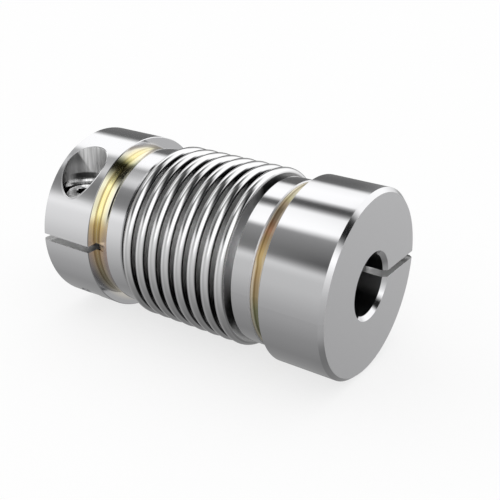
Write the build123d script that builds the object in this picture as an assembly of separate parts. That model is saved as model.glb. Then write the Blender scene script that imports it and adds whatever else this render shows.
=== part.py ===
from build123d import *
import os

# Metal bellows coupling, which joins two shafts end to end.
# Two slit clamping hubs are welded to collars, and a thin convoluted bellows joins the collars.
# The coupling lies along X with its middle at the origin and its clamp screws' heads up.
# The left end is modelled from its outer face at x = 0, then moved out to its place.
# The right end is the left end turned half a turn about Z.
# All sizes are in millimetres.

# Clamping hub
hub_diameter = 40.0
hub_length = 14.0
hub_rim_chamfer = 0.85
hub_edge_break = 0.15
bore_diameter = 13.0
bore_chamfer = 0.85
slit_width = 1.5

# Welded groove between hub and collar
groove_floor_width = 0.65
groove_step = 0.65
seam_width = 2.35
spigot_length = 3.0
spigot_wall = 3.5

# Collar that carries the bellows
collar_diameter = 36.0
collar_length = 7.15
collar_flank_length = 2.65
collar_edge_break = 0.25
flank_crevice_width = 0.15
flank_crevice_depth = 0.2
cuff_stop_thickness = 0.65
cuff_stop_height = 0.8
saw_runout_length = 2.2
saw_runout_depth = 0.3

# Bellows
bellows_diameter = 39.0
bellows_root_diameter = 28.8
bellows_wall = 0.4
bellows_pitch = 3.38
crest_count = 8
crest_radius = 1.15
crest_to_collar_gap = 1.22

# Socket-head clamp screw, size M5
screw_diameter = 5.0
screw_length = 16.0
screw_tip_chamfer = 0.6
head_diameter = 8.5
head_height = 5.0
head_chamfer = 0.45
socket_width = 4.0
socket_depth = 2.5
socket_tip_depth = 0.7
socket_mouth_chamfer = 0.25

# Screw's hole across the jaws
counterbore_diameter = 10.0
counterbore_rim_wall = 2.6
screw_seat_height = 5.0
clearance_hole_diameter = 5.5

# Fits
thread_clearance = 0.05
spigot_clearance = 0.02
cuff_clearance = 0.03
end_clearance = 0.1

# Radii that follow from the sizes above
hub_radius = hub_diameter / 2
bore_radius = bore_diameter / 2
collar_radius = collar_diameter / 2
groove_floor_radius = collar_radius - groove_step
spigot_radius = groove_floor_radius - seam_width
recess_radius = spigot_radius - spigot_wall
root_radius = bellows_root_diameter / 2
cuff_seat_radius = root_radius + cuff_clearance
trough_radius = bellows_pitch / 2 - crest_radius
crest_centre_radius = bellows_diameter / 2 - crest_radius
trough_centre_radius = root_radius + trough_radius

# Places along the axis, from the hub's outer face
seam_x = hub_length + groove_floor_width
spigot_end_x = seam_x + spigot_length
flank_end_x = seam_x + collar_flank_length
collar_end_x = seam_x + collar_length
cuff_stop_x = spigot_end_x + end_clearance + cuff_stop_thickness
cuff_start_x = cuff_stop_x + end_clearance
first_crest_x = collar_end_x + crest_to_collar_gap + crest_radius
last_crest_x = first_crest_x + (crest_count - 1) * bellows_pitch
coupling_length = first_crest_x + last_crest_x

# The clamp screw's axis crosses the slit half way along the hub.
screw_x = hub_length / 2
screw_y = counterbore_rim_wall + counterbore_diameter / 2 - hub_radius
past_hub = hub_radius + 1


def spun(*outline):
    """The solid that a closed outline of (x, radius) points or edges sweeps about the X axis."""
    if isinstance(outline[0], tuple):
        outline = [Polyline(*outline, close=True)]
    return revolve(make_face(outline), Axis.X)


def cross_hole(radius, bottom, top):
    """A cylinder on the clamp screw's axis, between two heights."""
    return Pos(screw_x, screw_y, (bottom + top) / 2) * Cylinder(radius, top - bottom)


def hub():
    """The left clamping hub, with the groove's floor and the spigot that centres the collar."""
    body = spun(
        (0, bore_radius + bore_chamfer),
        (0, hub_radius - hub_rim_chamfer),
        (hub_rim_chamfer, hub_radius),
        (hub_length - hub_edge_break, hub_radius),
        (hub_length, hub_radius - hub_edge_break),
        (hub_length, groove_floor_radius),
        (seam_x, groove_floor_radius),
        (seam_x, spigot_radius),
        (spigot_end_x, spigot_radius),
        (spigot_end_x, recess_radius),
        (hub_length, recess_radius),
        (hub_length, bore_radius),
        (bore_chamfer, bore_radius),
    )
    # The saw opens one side, from the bore out through the rim, as far as the weld.
    body -= Pos(seam_x / 2, -past_hub / 2, 0) * Box(seam_x, past_hub, slit_width)
    body -= cross_hole(counterbore_diameter / 2, screw_seat_height, past_hub)
    body -= cross_hole(clearance_hole_diameter / 2, 0, screw_seat_height)
    body -= cross_hole(screw_diameter / 2 + thread_clearance, -past_hub, 0)
    return body


def collar():
    """The left collar: a flank beside the weld, a plain rim, and a seat for the bellows' cuff."""
    flank_top = collar_radius - collar_edge_break
    cuff_stop_radius = cuff_seat_radius - cuff_stop_height
    spigot_seat_radius = spigot_radius + spigot_clearance
    ring = spun(
        (seam_x, spigot_seat_radius),
        (seam_x, groove_floor_radius),
        (flank_end_x - flank_crevice_width, flank_top),
        (flank_end_x, flank_top - flank_crevice_depth),
        (flank_end_x, flank_top),
        (flank_end_x + collar_edge_break, collar_radius),
        (collar_end_x - collar_edge_break, collar_radius),
        (collar_end_x, flank_top),
        (collar_end_x, cuff_seat_radius),
        (cuff_stop_x, cuff_seat_radius),
        (cuff_stop_x, cuff_stop_radius),
        (spigot_end_x + end_clearance, cuff_stop_radius),
        (spigot_end_x + end_clearance, spigot_seat_radius),
    )
    # The saw that slits the hub runs out into the flank and leaves a shallow wedge.
    runout_end_x = seam_x + saw_runout_length
    wedge = Polyline(
        (seam_x, saw_runout_depth - groove_floor_radius),
        (runout_end_x, -flank_top),
        (runout_end_x, -past_hub),
        (seam_x, -past_hub),
        close=True,
    )
    return ring - extrude(make_face(wedge), slit_width / 2, both=True)


def bellows_line(depth):
    """The bellows' section, from end to end, at a depth under its outer surface."""
    crest = crest_radius - depth
    trough = trough_radius + depth
    cuff = root_radius - depth
    first_bend_x = first_crest_x - bellows_pitch / 2
    last_bend_x = last_crest_x + bellows_pitch / 2
    line = [
        Line((cuff_start_x, cuff), (first_bend_x, cuff)),
        CenterArc((first_bend_x, trough_centre_radius), trough, 270, 90),
    ]
    for number in range(crest_count):
        x = first_crest_x + number * bellows_pitch
        trough_x = x + bellows_pitch / 2
        bend = 90 if number == crest_count - 1 else 180
        line += [
            Line((x - crest, trough_centre_radius), (x - crest, crest_centre_radius)),
            CenterArc((x, crest_centre_radius), crest, 180, -180),
            Line((x + crest, crest_centre_radius), (x + crest, trough_centre_radius)),
            CenterArc((trough_x, trough_centre_radius), trough, 180, bend),
        ]
    line.append(Line((last_bend_x, cuff), (coupling_length - cuff_start_x, cuff)))
    return line


def bellows():
    """The thin tube of round crests and troughs with flat flanks, and a plain cuff at each end."""
    outside = bellows_line(0)
    inside = bellows_line(bellows_wall)
    ends = [Line(outside[0] @ 0, inside[0] @ 0), Line(outside[-1] @ 1, inside[-1] @ 1)]
    return spun(*outside, *inside, *ends)


def clamp_screw():
    """The left hub's socket-head screw: its head in the counterbore, its point in the lower jaw."""
    shank = screw_diameter / 2
    head = head_diameter / 2
    # The outline is of (radius, height) points from the seat, drawn upright and spun about Z.
    outline = Polyline(
        (0, head_height),
        (head - head_chamfer, head_height),
        (head, head_height - head_chamfer),
        (head, 0),
        (shank, 0),
        (shank, screw_tip_chamfer - screw_length),
        (shank - screw_tip_chamfer, -screw_length),
        (0, -screw_length),
        close=True,
    )
    screw = revolve(Plane.XZ * make_face(outline), Axis.Z)
    # Hexagon socket, countersunk at its mouth and pointed by the drill at its floor.
    corner = socket_width / 3 ** 0.5
    socket_floor = head_height - socket_depth
    hexagon = RegularPolygon(corner, 6)
    screw -= Pos(0, 0, socket_floor) * extrude(hexagon, socket_depth)
    drilled = Cone(0, socket_width / 2, socket_tip_depth)
    screw -= Pos(0, 0, socket_floor - socket_tip_depth / 2) * drilled
    mouth = Cone(corner - socket_mouth_chamfer, corner + socket_mouth_chamfer, 2 * socket_mouth_chamfer)
    screw -= Pos(0, 0, head_height) * mouth
    return Pos(screw_x, screw_y, screw_seat_height) * screw


to_left_end = Pos(-coupling_length / 2, 0, 0)
to_right_end = Rot(0, 0, 180) * to_left_end

pieces = {"bellows": to_left_end * bellows()}
for name, piece in {"hub": hub(), "collar": collar(), "clamp_screw": clamp_screw()}.items():
    pieces["left_" + name] = to_left_end * piece
    pieces["right_" + name] = to_right_end * piece

os.makedirs("parts", exist_ok=True)
for name, piece in pieces.items():
    export_step(piece, f"parts/{name}.step")
    box = piece.bounding_box()
    print(name, "volume", round(piece.volume, 1), "from", box.min, "to", box.max)
print("coupling length", round(coupling_length, 3))
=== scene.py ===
# %% [markdown]
# # A metal bellows coupling
# A bellows coupling joins two shafts end to end. It has two clamping hubs, each slit and drawn
# tight by one screw, and a thin convoluted bellows between them that gives a little when the
# shafts don't line up. All of it is bright steel, so nearly everything we see is a reflection.
# The studio matters here as much as the steel, and it is built with the same care.

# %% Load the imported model
import math

import bmesh
import bpy
from mathutils import Euler, Matrix, Vector


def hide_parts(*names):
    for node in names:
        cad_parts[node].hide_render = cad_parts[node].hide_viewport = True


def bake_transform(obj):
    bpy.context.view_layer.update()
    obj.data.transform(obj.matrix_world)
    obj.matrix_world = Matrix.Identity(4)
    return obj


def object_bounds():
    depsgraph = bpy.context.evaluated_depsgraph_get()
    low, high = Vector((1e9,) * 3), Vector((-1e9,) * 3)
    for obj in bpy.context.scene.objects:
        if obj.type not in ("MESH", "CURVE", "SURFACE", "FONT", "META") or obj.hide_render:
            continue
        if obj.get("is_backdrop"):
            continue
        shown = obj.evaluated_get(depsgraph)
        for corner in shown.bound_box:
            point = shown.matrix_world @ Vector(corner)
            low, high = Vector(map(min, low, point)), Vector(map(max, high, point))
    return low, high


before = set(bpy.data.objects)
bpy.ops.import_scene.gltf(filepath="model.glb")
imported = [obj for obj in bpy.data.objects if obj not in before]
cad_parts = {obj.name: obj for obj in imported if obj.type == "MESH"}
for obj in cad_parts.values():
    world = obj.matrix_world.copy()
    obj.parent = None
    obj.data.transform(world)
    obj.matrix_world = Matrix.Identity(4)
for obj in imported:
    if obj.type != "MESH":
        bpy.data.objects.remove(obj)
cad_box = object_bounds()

MM = 0.001

# %% [markdown]
# ## Camera
# The camera's place was worked out from the photograph: the rims of both hubs are circles of a
# known size, and only one camera draws them as the ellipses that the photograph shows. It is
# written here as a place and three turns, which is exact and needs no aiming constraint.

# %% Camera
PHOTO_WIDTH = 500.0     # pixels
FOCAL_LENGTH = 850.31   # pixels
CAMERA_PLACE = Vector((100.312, -139.456, 75.439)) * MM
CAMERA_TURNS = (65.8886, -0.6521, 34.1616)   # degrees about X, Y and Z, in that order

camera_data = bpy.data.cameras.new("camera")
camera_data.sensor_width = 36
camera_data.lens = FOCAL_LENGTH / PHOTO_WIDTH * camera_data.sensor_width
camera_data.clip_start = 10 * MM
camera = bpy.data.objects.new("camera", camera_data)
bpy.context.scene.collection.objects.link(camera)
camera_turns = Euler([math.radians(degrees) for degrees in CAMERA_TURNS])
camera.matrix_world = Matrix.LocRotScale(CAMERA_PLACE, camera_turns, None)
bpy.context.scene.camera = camera
bpy.context.scene.view_settings.view_transform = "Standard"
print("lens", round(camera_data.lens, 2), "mm, distance", round(CAMERA_PLACE.length, 3), "m")

# %% [markdown]
# ## Shader sums as plain Python
# A material is a graph of nodes, and a graph of sums is hard to read. This small class wraps one
# output of a node, so that a line such as `(depth - 2) * 0.5` adds the Math nodes by itself.
# Every other node comes from one method, `node`, which sets its settings first and then its inputs.

# %% A wrapper for node sockets
def set_stops(ramp, stops):
    """Puts (place, colour) pairs on a colour ramp, in order. A number stands for a grey."""
    while len(ramp.elements) < len(stops):
        ramp.elements.new(1.0)
    for element, (place, colour) in zip(ramp.elements, stops):
        if not isinstance(colour, tuple):
            colour = (colour, colour, colour)
        element.position = place
        element.color = (*colour, 1)


class Sock:
    """One output socket, on which Python's operators add Math nodes."""

    def __init__(self, tree, output=None):
        self.tree, self.output = tree, output

    def node(self, kind, settings=None, inputs=None, output=0):
        """Any node: its settings are set first, then its inputs, by name or number."""
        made = self.tree.nodes.new(kind)
        for name, value in (settings or {}).items():
            if name == "stops":
                set_stops(made.color_ramp, value)
            else:
                setattr(made, name, value)
        for name, value in (inputs or {}).items():
            socket = made.inputs[name]
            if isinstance(value, Sock):
                self.tree.links.new(value.output, socket)
            elif socket.type == "RGBA":
                socket.default_value = (*value, 1)
            else:
                socket.default_value = value
        return Sock(self.tree, made.outputs[output]) if made.outputs else None

    def sum(self, operation, *values):
        """A Math node whose inputs are these values, in order."""
        return self.node("ShaderNodeMath", {"operation": operation}, dict(enumerate(values)))

    def __add__(self, other):
        return self.sum("ADD", self, other)

    def __sub__(self, other):
        return self.sum("SUBTRACT", self, other)

    def __rsub__(self, other):
        return self.sum("SUBTRACT", other, self)

    def __mul__(self, other):
        return self.sum("MULTIPLY", self, other)

    def __truediv__(self, other):
        return self.sum("DIVIDE", self, other)

    def __pow__(self, other):
        return self.sum("POWER", self, other)

    def __abs__(self):
        return self.sum("ABSOLUTE", self)

    def __neg__(self):
        return self * -1

    __radd__ = __add__
    __rmul__ = __mul__

    def above(self, edge, blur):
        """0 below the edge and 1 above it, with a soft step as wide as the blur."""
        return self.node("ShaderNodeMapRange", {"interpolation_type": "SMOOTHSTEP"},
                         {"Value": self, "From Min": edge - blur / 2, "From Max": edge + blur / 2})

    def between(self, low, high, blur, high_blur=None):
        """1 between two values and 0 outside them."""
        return self.above(low, blur) * (1 - self.above(high, high_blur or blur))

    def clamped(self, low, high):
        """Kept between two values."""
        return self.node("ShaderNodeClamp", {}, {0: self, 1: low, 2: high})

    def ramp(self, share, stops):
        """A colour or brightness by a share from 0 to 1, from (share, colour) pairs in order."""
        return self.node("ShaderNodeValToRGB", {"stops": stops}, {0: share})

    def mixed(self, first, second):
        """Between two colours, with self as the share of the second."""
        return self.node("ShaderNodeMix", {"data_type": "RGBA"},
                         {0: self, 6: first, 7: second}, output=2)

    def of(self, colour):
        """This share of a colour, so that less of it is darker."""
        return self.mixed((0, 0, 0), colour)

    def tinted(self, other):
        """A colour multiplied by another colour."""
        return self.node("ShaderNodeMix", {"data_type": "RGBA", "blend_type": "MULTIPLY"},
                         {0: 1.0, 6: self, 7: other}, output=2)

    def noise(self, scale, detail, *parts):
        """Soft noise from 0 to 1 at a point made of these parts, with this many patches to a unit."""
        point = self.node("ShaderNodeCombineXYZ", {}, dict(enumerate(parts)))
        return self.node("ShaderNodeTexNoise", {}, {"Vector": point, "Scale": scale, "Detail": detail})


def distance(a, b):
    """How far a point is from the origin, from its two coordinates."""
    return (a * a + b * b) ** 0.5


def share_of_turn(side, ahead):
    """The angle of a point from straight ahead towards the side, as a share of a whole turn."""
    return side.sum("ARCTAN2", side, ahead) / (2 * math.pi)


# %% [markdown]
# ## Studio
# Bright steel has hardly any colour of its own: it shows the studio. Read off the photograph, the
# light changes mostly with the angle round the coupling's axis, and only slowly along it. A world
# of soft bands that run along the axis gives the long clean streaks of the hubs, which no single
# lamp would. Each ring below is a round of light boxes and dark walls about the axis.

# %% A world, and one ring of light
world = bpy.data.worlds.new("studio")
bpy.context.scene.world = world
world.use_nodes = True
world.node_tree.nodes.clear()
# The bands reach the steel as reflections, so the world isn't sampled like a lamp.
world.cycles.sampling_method = "NONE"

sky = Sock(world.node_tree)
direction = sky.node("ShaderNodeTexCoord", output="Generated")
along, across, up = (sky.node("ShaderNodeSeparateXYZ", {}, {0: direction}, output=n) for n in range(3))

# A share of a turn: 0.5 is straight up, 0.75 the horizon in front and 0.25 the one behind.
turn = share_of_turn(-across, up) + 0.5


def ring(*bands):
    """Brightness by the angle round the axis, from (degrees, brightness) pairs in order.

    0 degrees is straight up, 90 the horizon in front and -90 the one behind.
    """
    bands = [(-180, bands[-1][1]), *bands]
    # A ramp's colours stop at 1, so the brightness is halved in it and doubled after it.
    return sky.ramp(turn, [((angle + 180) / 360, brightness / 2) for angle, brightness in bands]) * 2


print("world nodes:", len(world.node_tree.nodes))

# %% [markdown]
# Each ring stands where a direction has its share along the axis, from -1 at the left to 1 at the
# right. The camera stands to the right, so the hubs' rims mirror what is on the left: the left
# hub's rim shows the ring at -0.67, and the right hub's the two at -0.50 and -0.42. The crests of
# the bellows are round, and each of them shows all the rings side by side.

# %% Rings to the left
behind_right_rim = [
    (-145, 0.34), (-118, 0.26), (-95, 0.19), (-75, 0.16), (-62, 0.17), (-54, 1.30), (-40, 1.45),
    (-24, 1.45),
]
below_right_rim = [(75, 0.72), (90, 0.69), (120, 0.48), (150, 0.345), (180, 0.28)]

middle = ring(
    (-140, 0.30), (-118, 0.40), (-95, 0.40), (-70, 0.50), (-61, 0.75), (-54, 1.4), (-40, 1.4),
    (-30, 0.90), (-22, 0.12), (-9, 0.10), (-3, 0.50), (4, 0.80), (14, 0.75), (21, 0.40), (27, 0.13),
    (39, 0.06), (49, 0.03), (56, 0.05), (64, 0.40), (70, 0.57), (88, 0.63), (98, 0.57), (118, 0.45),
    (138, 0.31), (157, 0.27), (180, 0.20),
)
left_rings = [
    (-0.93, ring(
        (-150, 0.25), (-115, 0.30), (-75, 0.60), (-56, 0.75), (-45, 0.68), (-34, 0.50), (-9, 0.41),
        (5, 0.41), (38, 0.50), (48, 0.60), (56, 0.90), (72, 1.0), (92, 0.95), (108, 0.88), (124, 0.76),
        (137, 0.66), (150, 0.55), (165, 0.42), (180, 0.30),
    )),
    (-0.78, ring(
        (-150, 0.30), (-110, 0.33), (-90, 0.45), (-75, 0.64), (-56, 0.85), (-45, 0.88), (-27, 0.75),
        (-15, 0.76), (-4, 0.58), (9, 0.55), (17, 0.38), (33, 0.35), (45, 0.40), (50, 0.60), (57, 1.0),
        (70, 1.15), (83, 1.0), (107, 0.88), (124, 0.72), (137, 0.58), (150, 0.45), (165, 0.35),
        (180, 0.30),
    )),
    (-0.67, ring(
        (-145, 0.38), (-118, 0.34), (-95, 0.20), (-75, 0.18), (-62, 0.17), (-56, 0.60), (-51, 1.40),
        (-19, 1.45), (-11, 0.52), (-1, 0.50), (5, 0.70), (11, 0.85), (17, 0.70), (24, 0.34), (37, 0.26),
        (48, 0.30), (54, 0.42), (63, 1.05), (67, 1.18), (76, 1.02), (90, 0.95), (120, 0.66), (150, 0.46),
        (180, 0.34),
    )),
    (-0.50, ring(
        *behind_right_rim, (-20, 0.60), (-17, 0.12), (-12, 0.11), (-8, 0.50), (-3, 1.40), (20, 1.5),
        (26, 0.36), (48, 0.24), (57, 0.26), (66, 0.90), *below_right_rim,
    )),
    (-0.42, ring(
        *behind_right_rim, (-21, 0.60), (-17, 0.09), (-12, 0.09), (-8, 0.38), (-3, 1.30), (18, 1.5),
        (26, 0.36), (46, 0.20), (55, 0.11), (60, 0.26), (67, 0.86), *below_right_rim,
    )),
    (-0.35, middle),
    (-0.20, middle),
    (-0.02, ring(
        (-140, 0.30), (-107, 0.60), (-92, 0.90), (-75, 1.3), (-45, 1.4), (-34, 1.2), (-27, 0.50),
        (-20, 0.14), (-4, 0.12), (10, 0.18), (18, 0.40), (30, 0.47), (50, 0.42), (59, 0.36), (67, 0.62),
        (88, 0.68), (97, 0.64), (107, 0.53), (126, 0.40), (135, 0.32), (154, 0.26), (172, 0.18),
        (180, 0.20),
    )),
]
print("rings to the left:", len(left_rings))

# %% Rings to the right
behind = [(-148, 0.28), (-132, 0.42), (-118, 0.57), (-107, 0.65), (-92, 1.03)]

right_rings = [
    (0.28, ring(
        *behind, (-83, 1.25), (-75, 1.4), (-44, 1.4), (-21, 1.3), (-17, 0.90), (-12, 0.12), (-3, 0.08),
        (2, 0.10), (9, 0.40), (16, 0.90), (24, 1.4), (78, 1.35), (84, 0.95), (90, 0.80), (108, 0.64),
        (117, 0.53), (135, 0.37), (153, 0.26), (180, 0.22),
    )),
    (0.55, ring(
        *behind, (-75, 1.4), (-28, 1.35), (-23, 0.75), (-17, 0.06), (0, 0.05), (6, 0.28), (14, 0.85),
        (21, 1.4), (77, 1.4), (84, 1.0), (91, 0.83), (101, 0.67), (112, 0.63), (130, 0.45), (148, 0.34),
        (164, 0.24), (180, 0.22),
    )),
    (0.70, ring(
        *behind, (-75, 1.4), (-38, 1.4), (-31, 0.75), (-24, 0.10), (-18, 0.02), (2, 0.02), (9, 0.20),
        (15, 0.50), (20, 0.90), (26, 1.4), (62, 1.5), (73, 1.2), (84, 1.0), (101, 0.74), (112, 0.65),
        (130, 0.55), (148, 0.46), (164, 0.34), (180, 0.30),
    )),
    (0.84, ring(
        (-148, 0.28), (-132, 0.42), (-118, 0.56), (-107, 0.65), (-92, 1.03), (-83, 1.25), (-75, 1.4),
        (-40, 1.3), (-30, 0.30), (-24, 0.02), (-3, 0.02), (5, 0.25), (15, 0.95), (26, 1.6), (60, 1.6),
        (70, 1.25), (84, 1.0), (96, 0.80), (107, 0.66), (128, 0.54), (146, 0.43), (161, 0.34),
        (180, 0.30),
    )),
    (0.92, ring(
        (-148, 0.28), (-118, 0.50), (-92, 0.80), (-75, 1.0), (-45, 1.1), (-35, 0.40), (-26, 0.03),
        (-4, 0.04), (6, 0.40), (18, 1.0), (36, 1.5), (60, 1.1), (83, 0.85), (105, 0.63), (123, 0.52),
        (143, 0.42), (180, 0.30),
    )),
]
print("rings to the right:", len(right_rings))

# %% [markdown]
# One ring fades into the next as the direction swings from the left to the right. The right end of
# the studio is open and dark, and the left end is a grey wall. The rings are shown to reflections
# alone: the camera sees plain white, and matt things get one plain level from all round.

# %% The rings blended from left to right
LEFT_END = -0.975   # shares along the axis, past which the two ends begin
RIGHT_END = 0.962
END_BLUR = 0.03
GREY_WALL = 0.5     # brightnesses
DARK_OPENING = 0.10
PLAIN = 0.45

rings = left_rings + right_rings
place, light = rings[0]
for next_place, next_ring in rings[1:]:
    passed = along.above((place + next_place) / 2, next_place - place)
    light = light * (1 - passed) + next_ring * passed
    place = next_place

open_end = along.above(RIGHT_END, END_BLUR)
grey_end = 1 - along.above(LEFT_END, END_BLUR)
light = light * (1 - open_end) * (1 - grey_end) + open_end * DARK_OPENING + grey_end * GREY_WALL

to_camera = sky.node("ShaderNodeLightPath", output="Is Camera Ray")
to_metal = sky.node("ShaderNodeLightPath", output="Is Glossy Ray")
strength = to_camera + (1 - to_camera) * (to_metal * light + (1 - to_metal) * PLAIN)
backdrop = sky.node("ShaderNodeBackground", {}, {"Color": (1, 1, 1), "Strength": strength})
sky.node("ShaderNodeOutputWorld", {}, {"Surface": backdrop})
print("world nodes:", len(world.node_tree.nodes))

# %% [markdown]
# Light that falls into the folds of the bellows bounces from wall to wall many times before it
# comes out again. Blender stops after four mirror bounces, and after twelve of all kinds, and what
# is left would render black. Both limits go up to 24, so that the deep folds keep their light.

# %% Bounces between polished walls
cycles = bpy.context.scene.cycles
cycles.max_bounces = 24
cycles.glossy_bounces = 24
print("mirror bounces:", cycles.glossy_bounces)

# %% [markdown]
# ## Floor and lamp
# The floor is a plain pale sheet. One broad sun lamp with a very wide disc gives it the soft shadow
# under the coupling, and the world's plain level adds the rest, so that white renders as white.
# The lamp is kept out of the steel, which would show it as a hard spot. Where the camera sees the
# paper itself, most of it glows white, and the rest is matt and takes the shadow.

# %% Lamp
lamp_data = bpy.data.lights.new("broad_lamp", "SUN")
lamp_data.energy = math.pi * (1 - PLAIN)
lamp_data.angle = math.radians(120)
lamp = bpy.data.objects.new("broad_lamp", lamp_data)
bpy.context.scene.collection.objects.link(lamp)
# It shines nearly straight down.
lamp.rotation_euler = (math.radians(8), math.radians(-6), 0)
lamp.visible_glossy = False
print("lamp", round(lamp_data.energy, 2), "and plain level", PLAIN)

# %% Floor
FLOOR_Z = -20 * MM
FLOOR_REACH = 3   # metres from the middle to each side
GLOWING = 0.72    # the share of the paper that glows where the camera sees it

sheet = bmesh.new()
on_floor = Matrix.Translation((0, 0, FLOOR_Z))
bmesh.ops.create_grid(sheet, x_segments=1, y_segments=1, size=FLOOR_REACH, matrix=on_floor)
floor_mesh = bpy.data.meshes.new("floor")
sheet.to_mesh(floor_mesh)
sheet.free()
floor = bpy.data.objects.new("floor", floor_mesh)
bpy.context.scene.collection.objects.link(floor)
floor.visible_glossy = False
floor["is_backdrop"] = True

paper = bpy.data.materials.new("pale_paper")
paper.use_nodes = True
paper.node_tree.nodes.clear()
g = Sock(paper.node_tree)
matt = g.node("ShaderNodeBsdfDiffuse", {}, {"Color": (0.98, 0.98, 0.98)})
glow = g.node("ShaderNodeEmission", {}, {"Color": (1, 1, 1), "Strength": 1.0})
seen = g.node("ShaderNodeLightPath", output="Is Camera Ray")
surface = g.node("ShaderNodeMixShader", {}, {0: seen * GLOWING, 1: matt, 2: glow})
g.node("ShaderNodeOutputMaterial", {}, {"Surface": surface})
floor_mesh.materials.append(paper)
print("floor at", FLOOR_Z, "m")

# %% [markdown]
# ## A metal from three sums
# Each metal here is the same shader: fully metallic, with a colour, a roughness and a fine relief
# that change over the surface. One function makes that shader, and each finish only gives the
# three sums. They read Object coordinates, so a mark stays on its piece whatever the camera does.

# %% A metal shader
def metal(name, look):
    """A metal whose colour, roughness and relief in millimetres come from look(g, x, y, z)."""
    made = bpy.data.materials.new(name)
    made.use_nodes = True
    made.node_tree.nodes.clear()
    g = Sock(made.node_tree)
    spot = g.node("ShaderNodeTexCoord", output="Object")
    x, y, z = (g.node("ShaderNodeSeparateXYZ", {}, {0: spot}, output=n) / MM for n in range(3))
    colour, roughness, relief = look(g, x, y, z)
    bump = g.node("ShaderNodeBump", {}, {"Distance": MM, "Height": relief})
    shader = g.node("ShaderNodeBsdfPrincipled", {},
                    {"Base Color": colour, "Metallic": 1.0, "Roughness": roughness, "Normal": bump})
    g.node("ShaderNodeOutputMaterial", {}, {"Surface": shader})
    print(name, "has", len(made.node_tree.nodes), "nodes")
    return made


# %% [markdown]
# ## Turned steel
# A lathe leaves rings: on the rim they run round the axis, and on an end face they are circles.
# Both are the same mark, because a point of the tool's path is known by its place along the axis
# and its distance from it. Noise over those two numbers alone gives rings on every turned surface,
# with no need to know which way it faces. A slow noise over the whole piece adds the faint patches
# that wiping and handling leave.

# %% Turning marks
STEEL = (0.68, 0.68, 0.69)
RING_HEIGHT = 0.00035   # millimetres


def round_axis(y, z):
    """Distance from the coupling's axis, and the angle as a share of a turn: 0.5 is the top."""
    return distance(y, z), share_of_turn(-y, z) + 0.5


def turning_marks(g, x, radius, share):
    """Ring marks from 0 to 1."""
    coarse = g.noise(2.2, 2, x, radius, 0)
    fine = g.noise(9, 1, x, radius, share * 0.4)
    return coarse * 0.5 + fine * 0.5


def wiped(g, x, y, z):
    """Faint wide patches from 0 to 1."""
    return g.noise(0.09, 2, x, y, z)


def turned_colour(marks):
    """Plain steel, a little brighter on the ridges of the marks."""
    return (marks * 0.04 + 0.98).of(STEEL)


def polish(g, x, y, z, marks):
    """The roughness of a turned and polished surface."""
    return 0.075 + marks * 0.035 + wiped(g, x, y, z) * 0.02


# %% [markdown]
# ## Heat tint
# The hub and the collar are welded in the groove between them, and the heat leaves thin oxide:
# brown beside the weld, then gold, then pale straw where it was cooler. It changes with the place
# across the groove. Round the groove, painted reflection and shade are mixed into it as lighter and
# darker bands by the angle. Two ramps multiplied do both. Both ends of the coupling are alike, so
# one set of places serves them, counted outwards from the middle.

# %% Places in the groove, in millimetres
HUB_END = 22.0         # from the middle to the hub's inner face
FLANK_END = 18.7       # to the collar's rim
COLLAR_RADIUS = 18.0
HIDDEN_RADIUS = 14.0   # nearer to the axis than this, the groove's metal is hidden
print("the groove is", round(HUB_END - FLANK_END, 2), "mm wide at the top")

# %% Ramps of the heat tint
# Across a groove, 0 is the hub's inner face and 1 the collar's rim.
across_the_left = [
    (0.0, (0.80, 0.78, 0.58)), (0.04, (0.89, 0.85, 0.51)), (0.17, (0.89, 0.85, 0.51)),
    (0.28, (0.97, 0.93, 0.70)), (0.55, (1.0, 0.98, 0.84)), (0.87, (1.0, 1.0, 1.0)),
]
# Across the right groove, the dark stops near the collar's rim are a painted line of shade.
across_the_right = [
    (0.0, (0.75, 0.72, 0.64)), (0.50, (1.0, 1.0, 1.0)), (0.60, (1.0, 1.0, 1.0)),
    (0.74, (0.98, 0.96, 0.94)), (0.79, (0.62, 0.55, 0.46)), (0.83, (0.62, 0.55, 0.46)),
    (0.88, (1.0, 1.0, 1.0)),
]
# Round a groove, 0.5 is the top and 0.75 the front. These stops hold painted reflection and shade.
tint_and_light_round_left = [
    (0.0, (0.48, 0.49, 0.50)), (0.444, (0.66, 0.65, 0.58)), (0.472, (0.74, 0.79, 0.83)),
    (0.50, (0.75, 0.75, 0.74)), (0.514, (0.91, 0.88, 0.79)), (0.54, (0.94, 0.91, 0.78)),
    (0.558, (0.66, 0.68, 0.50)), (0.568, (0.17, 0.17, 0.09)), (0.577, (0.32, 0.30, 0.20)),
    (0.587, (1.0, 0.98, 0.80)), (0.625, (1.0, 1.0, 0.87)), (0.64, (0.91, 0.87, 0.73)),
    (0.667, (0.87, 0.85, 0.71)), (0.685, (1.0, 0.98, 0.80)), (0.708, (0.83, 0.66, 0.42)),
    (0.736, (0.72, 0.57, 0.46)), (0.764, (0.81, 0.63, 0.56)), (0.806, (0.74, 0.67, 0.68)),
    (0.847, (0.50, 0.48, 0.49)), (1.0, (0.48, 0.49, 0.50)),
]
tint_and_light_round_right = [
    (0.0, (0.50, 0.46, 0.34)), (0.52, (0.58, 0.55, 0.42)), (0.542, (0.60, 0.57, 0.43)),
    (0.556, (0.81, 0.75, 0.45)), (0.569, (0.74, 0.59, 0.41)), (0.583, (0.27, 0.21, 0.13)),
    (0.600, (0.26, 0.20, 0.14)), (0.614, (0.37, 0.21, 0.12)), (0.625, (0.72, 0.40, 0.24)),
    (0.639, (0.73, 0.50, 0.25)), (0.656, (0.98, 0.71, 0.34)), (0.669, (1.00, 0.74, 0.34)),
    (0.683, (0.76, 0.58, 0.29)), (0.700, (0.60, 0.44, 0.23)), (0.722, (0.51, 0.38, 0.22)),
    (0.750, (0.49, 0.39, 0.22)), (0.778, (0.34, 0.35, 0.21)), (0.811, (0.34, 0.36, 0.23)),
    (1.0, (0.50, 0.46, 0.34)),
]
print("stops round the grooves:", len(tint_and_light_round_left), "and", len(tint_and_light_round_right))

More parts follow.
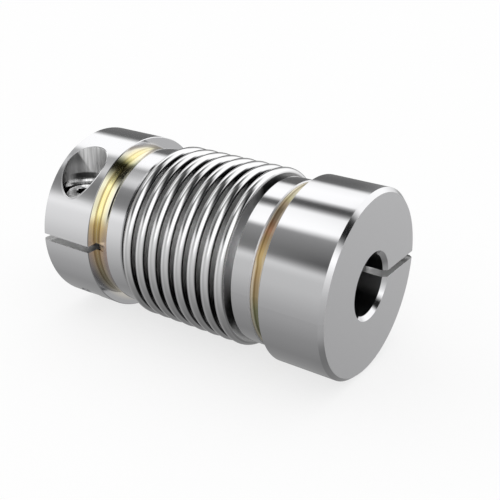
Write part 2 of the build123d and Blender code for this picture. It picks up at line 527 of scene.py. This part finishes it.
# %% Heat tint of a groove
WELD_BROWN = (0.26, 0.19, 0.09)
STRAW_HIGHLIGHT = (0.98, 0.88, 0.72)


def heat_tint(g, x, share):
    """The oxide's colour with painted reflection and shade in it, for either groove."""
    right = x.above(0, 1)
    place = (HUB_END - abs(x)) / (HUB_END - FLANK_END)
    wander = share + (g.noise(1.4, 2, share * 6, 0, x * 0.05) - 0.5) * 0.03
    uneven = place + (g.noise(1.0, 2, share * 30, 0, x * 0.1) - 0.5) * 0.05
    # Round the groove, the tint carries painted reflection and shade by the angle.
    around = right.mixed(g.ramp(wander, tint_and_light_round_left), g.ramp(wander, tint_and_light_round_right))
    # On the left the weld shows as a brown line, and painted shade darkens the groove's floor low on the
    # front.
    line = uneven.between(0.165, 0.315, 0.04) * (0.35 + share.above(0.59, 0.05) * 0.33)
    low_floor_shade = (1 - uneven.above(0.19, 0.02)) * share.above(0.69, 0.03) * 0.36
    left_colour = line.mixed(g.ramp(uneven, across_the_left), WELD_BROWN)
    left_colour = (1 - low_floor_shade).of(left_colour)
    # On the right, painted highlights make the flank pale in its middle and at its end.
    shifted = uneven + share.above(0.686, 0.02) * 0.08
    across = right.mixed(left_colour, g.ramp(shifted, across_the_right))
    pale = right * (shifted.above(0.905, 0.04) * 0.6 + shifted.between(0.44, 0.57, 0.04) * 0.4)
    return pale.mixed(across.tinted(around), STRAW_HIGHLIGHT)


# %% [markdown]
# The heat reaches the hub's inner face too, and its foot is a pale straw. A painted brown shade
# climbs the face at the top of the left groove, and a thin dark line of painted shade lies on its
# edge at the front. Each mark is a mask made of soft steps in the place, the distance from the axis
# and the angle.

# %% Heat marks of a hub
HUB_RADIUS = 20.0
EDGE_BREAK = 0.15   # the width of the small bevel at the hub's inner edge
CLIMB = 27          # millimetres that the brown shade would climb in a whole turn
PALE_STRAW = (0.98, 0.93, 0.84)
BROWN_SHADE = (0.27, 0.24, 0.23)
EDGE_SHADE_BROWN = (0.10, 0.09, 0.07)


def heated_hub(g, x, radius, share, plain):
    """The hub's colour with the heat's marks and painted shade on it, and where the groove's floor is
    tinted.
    """
    aside = abs(x)
    outside = radius.above(HIDDEN_RADIUS, 0.5)
    in_groove = 1 - aside.above(HUB_END - 0.015, 0.02)
    tint = in_groove * (1 - radius.above(COLLAR_RADIUS - 0.4, 0.3)) * outside
    face = aside.between(HUB_END - 0.015, HUB_END + 0.1, 0.02)
    foot = face * (1 - radius.above(COLLAR_RADIUS + 0.4, 1.6)) * outside * share.above(0.475, 0.04)
    colour = (foot * 0.9).mixed(plain, PALE_STRAW)
    # Painted shade: a brown band climbs the face at the top of the left groove.
    climbing = (radius - (share - 0.5) * CLIMB).between(COLLAR_RADIUS + 0.1, COLLAR_RADIUS + 0.9, 0.5)
    shade = face * climbing * (1 - share.above(0.548, 0.02)) * (1 - x.above(0, 1))
    colour = (shade * 0.8).mixed(colour, BROWN_SHADE)
    colour = tint.mixed(colour, heat_tint(g, x, share))
    # Painted shade: a thin dark line on the hub's broken edge at the front.
    at_edge = 1 - aside.above(HUB_END + EDGE_BREAK - 0.01, 0.03)
    at_edge = at_edge * radius.above(HUB_RADIUS - EDGE_BREAK - 0.01, 0.03)
    edge_shade_line = at_edge * share.between(0.60, 0.80, 0.08)
    return (edge_shade_line * 0.75).mixed(colour, EDGE_SHADE_BROWN), tint


# %% [markdown]
# ## Saw cut
# A saw opens each hub on one side, in the plane z = 0, and its teeth leave fine arcs of the blade's
# own size. An image of such marks would need an unwrapped mesh. Noise over the distance from the
# blade's middle draws them without one. The walls of the cut are paler and rougher than polished
# steel. Painted shade darkens the right one towards its mouth, and the left one at both ends.

# %% Saw cut of a hub
OUTER_FACE = 36.0   # from the middle to the hub's outer face
BORE_RADIUS = 6.5
CUT_HALF = 0.75     # half the width of the cut
SAW_X = 52.0        # the blade's middle lies outside the hub
SAW_Y = -24.0       # and beyond the axis


def saw_cut(g, x, y, z, radius):
    """Where the metal is sawn, its colour with painted shade, and the saw's marks from 0 to 1."""
    aside = abs(x)
    right = x.above(0, 1)
    slit = (x * y).above(0, 1) * (1 - abs(z).above(CUT_HALF + 0.01, 0.02))
    sawn = slit * radius.between(BORE_RADIUS - 0.5, HUB_RADIUS - 0.1, 0.2, 0.1)
    marks = g.noise(5, 2, distance(aside - SAW_X, abs(y) - SAW_Y), z * 0.3, 0)
    # Painted shade on the walls of the cut: the right one towards its mouth, the left one at both ends.
    mouth_shade = radius.above(HUB_RADIUS - 4, 1.5) * 0.60 + radius.above(HUB_RADIUS - 1, 1.2) * 0.34
    inner = (1 - aside.above(HUB_END + 2.6, 3)) * 0.30 + (1 - aside.above(HUB_END - 0.2, 0.3)) * 0.65
    outer = aside.above(OUTER_FACE - 1.8, 1.4) * 0.6
    brightness = (0.86 + marks * 0.24) * (1 - right * mouth_shade) * (1 - (1 - right) * (inner + outer))
    return sawn, brightness.of((1.0, 1.0, 1.0)), marks


# %% [markdown]
# ## Screw's pocket
# The pocket of the screw's head is bored down from the top. Its wall has painted light on one side
# and painted shade on the other, with faint streaks. Painted shade also lies in one band above the
# head and in the gap round it. All of this follows the height and the angle round the screw's own
# axis. The pocket's rim has no bevel in the solid, so the relief rounds it, which costs no faces.

# %% Pocket of a clamp screw
SCREW_X = 29.0        # from the middle to the clamp screw
SCREW_Y = 12.4        # from the axis to the clamp screw
POCKET_RADIUS = 5.0
HEAD_SEAT = 5.0       # height of the screw head's seat over the axis
HEAD_TOP = 10.0
WIDENS_FROM = 17.4    # height from which the dull part of the wall widens downwards
WIDENING = 6.7        # degrees that it widens in a millimetre
LIT_WALL = (0.92, 0.92, 0.92)
SHADED_WALL = (0.14, 0.14, 0.14)
PAINTED_SHADE_BLACK = (0.05, 0.05, 0.05)


def screw_pocket(g, x, y, z):
    """Where the wall is bored, its colour with painted light and shade, its roughness, and where its rim
    is rounded.
    """
    from_screw_x = abs(x) - SCREW_X
    from_screw_y = abs(y) - SCREW_Y
    from_screw = distance(from_screw_x, from_screw_y)
    degrees = share_of_turn(from_screw_y, from_screw_x) * 360
    own_side = (x * y).above(0, 1)
    bored = own_side * (1 - from_screw.above(POCKET_RADIUS + 0.02, 0.02)) * z.above(HEAD_SEAT - 0.1, 0.1)
    streaks = g.noise(1.6, 2, abs(x), y, z * 0.06)

    # Painted light and shade on the wall: lit on one side, shaded on the other, widening downwards.
    shaded_side = (degrees + (WIDENS_FROM - z) * WIDENING).above(-30, 6) * z.above(HEAD_TOP + 0.9, 0.6)
    wall_shade = shaded_side * (0.35 + z.above(HEAD_TOP + 5, 2.5) * 0.45)
    wall_shade = wall_shade + streaks.above(0.52, 0.2) * (1 - wall_shade) * 0.3
    colour = wall_shade.clamped(0, 0.95).mixed(LIT_WALL, SHADED_WALL)

    # Painted shade in a band above the head and in the gap round it.
    band = z.between(HEAD_TOP + 1.25, HEAD_TOP + 2.55, 0.4) * degrees.between(-78, -12, 34)
    gap = 1 - z.above(HEAD_TOP - 0.6, 1.0)
    colour = (band + gap).clamped(0, 0.9).mixed(colour, PAINTED_SHADE_BLACK)

    rubbed = 1 - z.above(HEAD_TOP + 1.2, 0.4)
    roughness = (0.26 + streaks * 0.1) * (1 - rubbed * 0.6)
    rim = own_side * z.above(HEAD_SEAT, 0.1) * (1 - from_screw.above(POCKET_RADIUS + 0.13, 0.26))
    return bored, colour, roughness, rim


# %% [markdown]
# ## Hubs
# The hubs are turned and polished, so they are the brightest pieces. Their outer end faces are only
# turned, and the right groove's weld was left rough. The finish is laid on in layers, each with its
# own mask over the one before it: plain steel, the heat's marks, the cut, the bore and the pocket.

# %% Steel of the hubs
BORE_SHADE = (0.02, 0.02, 0.02)


def hub_look(g, x, y, z):
    """Polished rims, tinted grooves, a sawn slit, a bore in painted shade and the screw's pocket."""
    radius, share = round_axis(y, z)
    marks = turning_marks(g, x, radius, share)
    colour, tint = heated_hub(g, x, radius, share, turned_colour(marks))

    sawn, sawn_colour, saw_marks = saw_cut(g, x, y, z, radius)
    colour = sawn.mixed(colour, sawn_colour)

    # Painted shade darkens the bore, least just under the slit, where painted light eases it.
    in_bore = (1 - radius.above(BORE_RADIUS + 0.02, 0.02)) * (1 - sawn)
    lit_under_slit = z.between(-3.8, -0.8, 2.2, 0.6)
    colour = (in_bore * (0.85 - lit_under_slit * 0.75)).mixed(colour, BORE_SHADE)

    pocket, wall_colour, wall_roughness, rim = screw_pocket(g, x, y, z)
    colour = pocket.mixed(colour, wall_colour)

    end_face = abs(x).above(OUTER_FACE - 0.03, 0.02)
    weld = tint * x.above(0, 1)
    roughness = polish(g, x, y, z, marks) * (1 - pocket) + wall_roughness * pocket
    roughness = roughness + tint * 0.03 + weld * 0.22 + end_face * 0.2
    roughness = roughness + in_bore * 0.2 + sawn * (0.18 + saw_marks * 0.12)
    turned = marks * (1 - sawn) * (1 - pocket) * (1 - in_bore)
    relief = turned * RING_HEIGHT + saw_marks * sawn * 0.0008 + rim * 0.14
    return colour, roughness, relief


hub_steel = metal("turned_hub_steel", hub_look)

# %% [markdown]
# ## Collars
# The collar is the same steel, with a tinted flank in the groove. Painted shade darkens the end of
# the left flank, most of it on the front above the middle. The edge beside the bellows is rounded,
# which the relief does, and painted shade darkens it where it drops off on the left.

# %% Steel of the collars
COLLAR_END = 14.2   # from the middle to the collar's end beside the bellows
CREVICE_SHADE = (0.02, 0.018, 0.015)


def collar_look(g, x, y, z):
    """A polished rim, a tinted flank, painted shade at the flank's end and a rounded inner edge."""
    radius, share = round_axis(y, z)
    marks = turning_marks(g, x, radius, share)
    aside = abs(x)
    right = x.above(0, 1)
    left = 1 - right
    tint = aside.above(FLANK_END, 0.03) * radius.above(HIDDEN_RADIUS, 0.5)
    colour = tint.mixed(turned_colour(marks), heat_tint(g, x, share))

    # Painted shade at the end of the left flank, most of it on the front above the middle.
    crevice = aside.between(FLANK_END + 0.12, FLANK_END + 0.70, 0.12) * left
    shade_amount = 0.12 + share.between(0.614, 0.69, 0.03) * 0.88
    colour = (crevice * shade_amount).mixed(colour, CREVICE_SHADE)

    # Painted shade where the left collar's edge drops off beside the bellows.
    dropping = (1 - aside.above(COLLAR_END + 0.09, 0.12)) * radius.above(COLLAR_RADIUS - 0.8, 0.4)
    drop_shade = 0.45 + share.above(0.67, 0.02) * 0.3
    colour = (left * dropping * drop_shade).mixed(colour, PAINTED_SHADE_BLACK)

    # The right collar's broken edge was brushed.
    brushed = aside.between(FLANK_END - 0.28, FLANK_END + 0.02, 0.03) * right
    roughness = polish(g, x, y, z, marks) + tint * right * 0.25 + crevice * 0.2 + brushed * 0.25
    rounded = (COLLAR_END + 0.25 - aside).clamped(0, 0.3)
    return colour, roughness, marks * RING_HEIGHT + rounded


collar_steel = metal("turned_collar_steel", collar_look)

# %% [markdown]
# ## Clamp screws
# A socket-head screw is cold headed, so its skin is softer than that of the turned parts. Its shank
# is threaded: a helix is a height that depends on the place along the screw plus the angle round
# it, so one sum draws the whole thread as relief. The head's side is knurled, with two sets of
# crossing helices that leave small diamonds.

# %% Screw steel
HEAD_RADIUS = 4.25
SOCKET_REACH = 2.35   # a little over the socket's half width across its corners
THREAD_PITCH = 0.8
KNURLS = 48           # round the head
SCREW_STEEL = (0.94, 0.94, 0.945)


def screw_look(g, x, y, z):
    """A satin head with a knurled side and a socket in painted shade, on a threaded shank."""
    # Both screws turn alike although the absolute values mirror one of them twice.
    from_screw_x = abs(x) - SCREW_X
    from_screw_y = abs(y) - SCREW_Y
    radius = distance(from_screw_x, from_screw_y)
    share = share_of_turn(from_screw_y, from_screw_x)
    grain = g.noise(1.2, 3, x, y, z)

    shank = 1 - z.above(HEAD_SEAT - 0.02, 0.02)
    thread = g.sum("PINGPONG", z / THREAD_PITCH - share, 0.5) * 2
    side = radius.above(HEAD_RADIUS - 0.05, 0.03) * z.between(HEAD_SEAT + 0.5, HEAD_TOP - 0.7, 0.3)
    rising = g.sum("PINGPONG", share * KNURLS + z * 1.1, 0.5)
    falling = g.sum("PINGPONG", share * KNURLS - z * 1.1, 0.5)
    knurl = rising * falling * 4
    top = z.above(HEAD_TOP - 0.1, 0.05)
    rings = g.noise(6, 1, radius, 0, 0)
    socket = (1 - radius.above(SOCKET_REACH, 0.05)) * z.between(HEAD_TOP - 3, HEAD_TOP - 0.2, 0.1)

    # The socket is darkened with painted shade.
    colour = ((grain * 0.2 + 0.85) * (1 - socket * 0.85)).of(SCREW_STEEL)
    roughness = 0.16 + grain * 0.1 + shank * 0.05
    relief = thread * shank * radius.above(2.2, 0.1) * 0.16 + knurl * side * 0.012 + rings * top * 0.001
    return colour, roughness, relief


screw_steel = metal("screw_steel", screw_look)

# %% [markdown]
# ## Bellows steel
# The bellows is thin stainless sheet, pressed into waves. The press polishes the crests, which show
# the studio as black and white stripes, and leaves the walls of the folds matt. The forming tools
# leave very faint lines round each wave. A painted dark line of shade runs round the crests'
# shoulders, except over the back. One ramp round the axis paints light and shade onto the matt walls.

# %% Bright sheet of the bellows
SHOULDER = 18.5    # distance from the axis at which the crests' polish begins
LAST_SIDE = 12.1   # where the last crest on the right falls away to its collar
SHEET = (0.74, 0.74, 0.745)
SHOULDER_SHADE = (0.03, 0.03, 0.032)

# Painted light and shade of the folds' walls, by the share of a turn round the axis.
painted_light_of_walls = [
    (0.0, 0.50), (0.40, 0.50), (0.48, 0.20), (0.50, 0.08), (0.543, 0.07), (0.556, 0.92),
    (0.575, 0.95), (0.597, 0.76), (0.625, 0.83), (0.653, 0.98), (0.681, 0.98), (0.708, 0.93),
    (0.736, 0.81), (0.764, 0.70), (0.786, 0.22), (0.806, 0.08), (0.828, 0.11), (0.85, 0.80),
    (0.90, 0.60), (1.0, 0.50),
]


def bellows_look(g, x, y, z):
    """Polished crests, folds in painted light and shade, and painted shade on the crests' shoulders."""
    radius, share = round_axis(y, z)
    lines = g.noise(14, 2, x, radius, share * 3)
    crests = (lines * 0.05 + 0.97).of(SHEET)
    folds = 1 - radius.above(SHOULDER, 0.06)
    lit_walls = g.ramp(share + (lines - 0.5) * 0.01, painted_light_of_walls)
    # Painted shade round the crests' shoulders, except over the back.
    back_top = (z / radius).above(0.4, 0.2) * (y / radius).above(-0.02, 0.1)
    shoulders = radius.between(SHOULDER, SHOULDER + 0.42, 0.14) * (1 - back_top)
    # The last shoulder on the right has less of it.
    shoulders = shoulders * (1 - x.above(LAST_SIDE, 0.2) * 0.6)
    colour = (shoulders * 0.92).mixed(folds.mixed(crests, lit_walls), SHOULDER_SHADE)
    roughness = 0.03 + lines * 0.03 + wiped(g, x, y, z) * 0.015 + folds * 0.35
    return colour, roughness, lines * 0.0001


bellows_steel = metal("bright_bellows_steel", bellows_look)

# %% [markdown]
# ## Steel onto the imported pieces
# The hubs, collars and screws have the right shapes as they are packed, so they stay, and only
# their material changes. The end of a node's name says which steel it takes.

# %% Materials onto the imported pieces
finishes = {"hub": hub_steel, "collar": collar_steel, "screw": screw_steel}
for name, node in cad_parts.items():
    for part, finish in finishes.items():
        if name.endswith(part):
            node.data.materials.clear()
            node.data.materials.append(finish)
            print(name, "takes", finish.name)

# %% [markdown]
# ## Bellows
# The bellows is one thin tube that follows both ends of the coupling as they move, so it has to
# bend. It is modelled as two halves that meet in the middle trough. The section is walked like a
# bent rod: a straight run, then an arc turned about its centre, and so on along the outside and
# along the inside. Spinning that closed section about the axis gives a sheet with a real wall, and
# equal arcs make all crests alike.

# %% Sizes of the bellows, in millimetres
PITCH = 3.38
CREST = 1.15            # the outside's radius over a crest
TROUGH = 0.54           # the outside's radius in a trough
WALL = 0.40
CREST_CENTRE = 18.35    # from the axis to the centre of a crest's arc
TROUGH_CENTRE = 14.94
WAVES = 4               # in each half
CUFF_END = 17.5         # from the middle to the end of the plain cuff in the collar
print("crests", round(2 * (CREST_CENTRE + CREST), 2), "mm across")
print("troughs", round(2 * (TROUGH_CENTRE - TROUGH), 2), "mm across")

# %% A section walked as runs and bends
def run_to(section, tip, x, radius):
    """A straight run from the tip to a place."""
    made = bmesh.ops.extrude_vert_indiv(section, verts=[tip])["verts"][0]
    made.co = Vector((x, 0, radius)) * MM
    return made


def bend(section, tip, x, radius, degrees, steps):
    """An arc from the tip about a centre."""
    made = bmesh.ops.spin(section, geom=[tip], cent=Vector((x, 0, radius)) * MM, axis=(0, 1, 0),
                          angle=math.radians(degrees), steps=steps)
    return [part for part in made["geom_last"] if isinstance(part, bmesh.types.BMVert)][0]


def walk(section, tip, depth, steps):
    """The outside at depth 0, or the inside at the wall's depth, from the middle trough to the cuff.

    The steps are those of a quarter turn in a trough.
    """
    crest = CREST - depth
    tip = bend(section, tip, 0, TROUGH_CENTRE, -90, steps)
    for wave in range(WAVES):
        middle = (wave + 0.5) * PITCH
        tip = run_to(section, tip, middle - crest, CREST_CENTRE)
        tip = bend(section, tip, middle, CREST_CENTRE, 180, 2 * steps + 2)
        tip = run_to(section, tip, middle + crest, TROUGH_CENTRE)
        quarters = 1 if wave == WAVES - 1 else 2
        tip = bend(section, tip, middle + PITCH / 2, TROUGH_CENTRE, -90 * quarters, steps * quarters)
    return run_to(section, tip, CUFF_END, TROUGH_CENTRE - TROUGH - depth)


# %% Half a bellows
AROUND = 144         # steps round the axis
OUTSIDE_STEPS = 5    # steps of a quarter turn in a trough
INSIDE_STEPS = 4
SHARP_EDGE = 50      # degrees


def half_shape():
    """The closed section from the middle trough to the right cuff, spun about the axis."""
    shape = bmesh.new()
    outer = shape.verts.new(Vector((0, 0, TROUGH_CENTRE - TROUGH)) * MM)
    inner = shape.verts.new(Vector((0, 0, TROUGH_CENTRE - TROUGH - WALL)) * MM)
    outer_end = walk(shape, outer, 0, OUTSIDE_STEPS)
    inner_end = walk(shape, inner, WALL, INSIDE_STEPS)
    shape.edges.new((outer, inner))
    shape.edges.new((outer_end, inner_end))
    bmesh.ops.remove_doubles(shape, verts=shape.verts, dist=0.00001 * MM)
    bmesh.ops.spin(shape, geom=shape.verts[:] + shape.edges[:], cent=(0, 0, 0), axis=(1, 0, 0),
                   angle=math.radians(360), steps=AROUND, use_merge=True)
    return shape


def bellows_half(name, turned):
    """Half the bellows as a piece, turned this many degrees about the upright axis."""
    shape = half_shape()
    bmesh.ops.rotate(shape, verts=shape.verts, matrix=Matrix.Rotation(math.radians(turned), 3, "Z"))
    bmesh.ops.recalc_face_normals(shape, faces=shape.faces)
    for face in shape.faces:
        face.smooth = True
    for edge in shape.edges:
        edge.smooth = edge.is_manifold and edge.calc_face_angle() < math.radians(SHARP_EDGE)
    open_edges = sum(not edge.is_manifold for edge in shape.edges)
    mesh = bpy.data.meshes.new(name)
    shape.to_mesh(mesh)
    shape.free()
    mesh.materials.append(bellows_steel)
    piece = bpy.data.objects.new(name, mesh)
    bpy.context.scene.collection.objects.link(piece)
    print(name, len(mesh.polygons), "faces,", open_edges, "open edges")
    return piece


# %% [markdown]
# Both halves are built, and the left one is turned half a turn about the upright axis. The imported
# bellows is hidden in their place.

# %% Both halves
right_half = bellows_half("bellows_right_half", 0)
left_half = bellows_half("bellows_left_half", 180)
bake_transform(left_half)
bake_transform(right_half)
for half in (left_half, right_half):
    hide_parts("bellows")
print("halves:", left_half.name, right_half.name)

# %% [markdown]
# ## Sizes
# The boxes of the imported solids and of the finished model are kept side by side and printed in
# millimetres.

# %% Sizes
visual_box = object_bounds()
for title, box in (("CAD box", cad_box), ("visual box", visual_box)):
    print(title, [[round(value / MM, 2) for value in corner] for corner in box])
